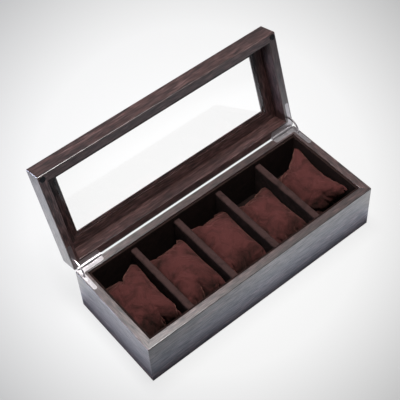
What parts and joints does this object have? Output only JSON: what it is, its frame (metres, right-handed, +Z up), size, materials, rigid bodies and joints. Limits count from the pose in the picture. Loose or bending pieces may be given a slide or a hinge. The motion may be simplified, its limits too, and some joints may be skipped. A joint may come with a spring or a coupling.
{
  "type": "watch display box",
  "caption": "Dark veneered watch display box with a glass-topped lid on L-shaped stop hinges, velvet compartments and lift-out cushions.",
  "frame": {"origin": "centre of the underside of the felt, on the surface the box stands on", "axes": "+X along the box to the right as seen from the front, +Y from the front to the hinged back, +Z up"},
  "size_m": [0.3, 0.1767, 0.1783],
  "materials": {
    "dark_veneer": "satin",
    "panel_board": "raw board",
    "black_felt": "felt",
    "lining_velvet": "short-pile velvet",
    "cushion_velvet": "short-pile velvet",
    "plated_steel": "nickel plate",
    "clear_glass": "polished",
    "black_rubber": "glossy"
  },
  "bodies": {
    "case": {"case_front_wall": "dark_veneer", "case_back_wall": "dark_veneer", "case_left_wall": "dark_veneer", "case_right_wall": "dark_veneer", "case_floor_panel": "panel_board", "underside_felt": "black_felt", "lining_floor": "lining_velvet", "lining_front": "lining_velvet", "lining_back": "lining_velvet", "lining_left": "lining_velvet", "lining_right": "lining_velvet", "divider_1": "lining_velvet", "divider_2": "lining_velvet", "divider_3": "lining_velvet", "divider_4": "lining_velvet", "case_hinge_leaf_left": "plated_steel", "case_hinge_leaf_right": "plated_steel", "hinge_pin_left": "plated_steel", "hinge_pin_right": "plated_steel", "case_hinge_screws": "plated_steel"},
    "lid": {"lid_front_rail": "dark_veneer", "lid_back_rail": "dark_veneer", "lid_left_rail": "dark_veneer", "lid_right_rail": "dark_veneer", "top_frame_front": "dark_veneer", "top_frame_back": "dark_veneer", "top_frame_left": "dark_veneer", "top_frame_right": "dark_veneer", "glass_pane": "clear_glass", "bumper_left": "black_rubber", "bumper_right": "black_rubber", "lid_hinge_leaf_left": "plated_steel", "lid_hinge_leaf_right": "plated_steel", "lid_hinge_screws": "plated_steel"},
    "arm_left": {"stop_arm_left": "plated_steel"},
    "arm_right": {"stop_arm_right": "plated_steel"},
    "pillow_1": {"pillow_1": "cushion_velvet"},
    "pillow_2": {"pillow_2": "cushion_velvet"},
    "pillow_3": {"pillow_3": "cushion_velvet"},
    "pillow_4": {"pillow_4": "cushion_velvet"},
    "pillow_5": {"pillow_5": "cushion_velvet"}
  },
  "joints": [
    {"name": "lid_hinge", "type": "hinge", "parent": "case", "child": "lid", "pos_m": [0, 0.061, 0.0618], "axis": [-1, 0, 0], "range_deg": [-106, 0]},
    {"name": "stop_arm_left_swing", "type": "hinge", "parent": "case", "child": "arm_left", "pos_m": [0, 0.061, 0.0618], "axis": [-1, 0, 0], "range_deg": [-53, 0]},
    {"name": "stop_arm_right_swing", "type": "hinge", "parent": "case", "child": "arm_right", "pos_m": [0, 0.061, 0.0618], "axis": [-1, 0, 0], "range_deg": [-53, 0]},
    {"name": "pillow_1_lift", "type": "slide", "parent": "case", "child": "pillow_1", "axis": [0, 0, 1], "range_m": [0, 0.06]},
    {"name": "pillow_2_lift", "type": "slide", "parent": "case", "child": "pillow_2", "axis": [0, 0, 1], "range_m": [0, 0.06]},
    {"name": "pillow_3_lift", "type": "slide", "parent": "case", "child": "pillow_3", "axis": [0, 0, 1], "range_m": [0, 0.06]},
    {"name": "pillow_4_lift", "type": "slide", "parent": "case", "child": "pillow_4", "axis": [0, 0, 1], "range_m": [0, 0.06]},
    {"name": "pillow_5_lift", "type": "slide", "parent": "case", "child": "pillow_5", "axis": [0, 0, 1], "range_m": [0, 0.06]}
  ],
  "couplings": [
    {"joint": "stop_arm_left_swing", "follows": "lid_hinge", "ratio": 0.5},
    {"joint": "stop_arm_right_swing", "follows": "lid_hinge", "ratio": 0.5}
  ]
}
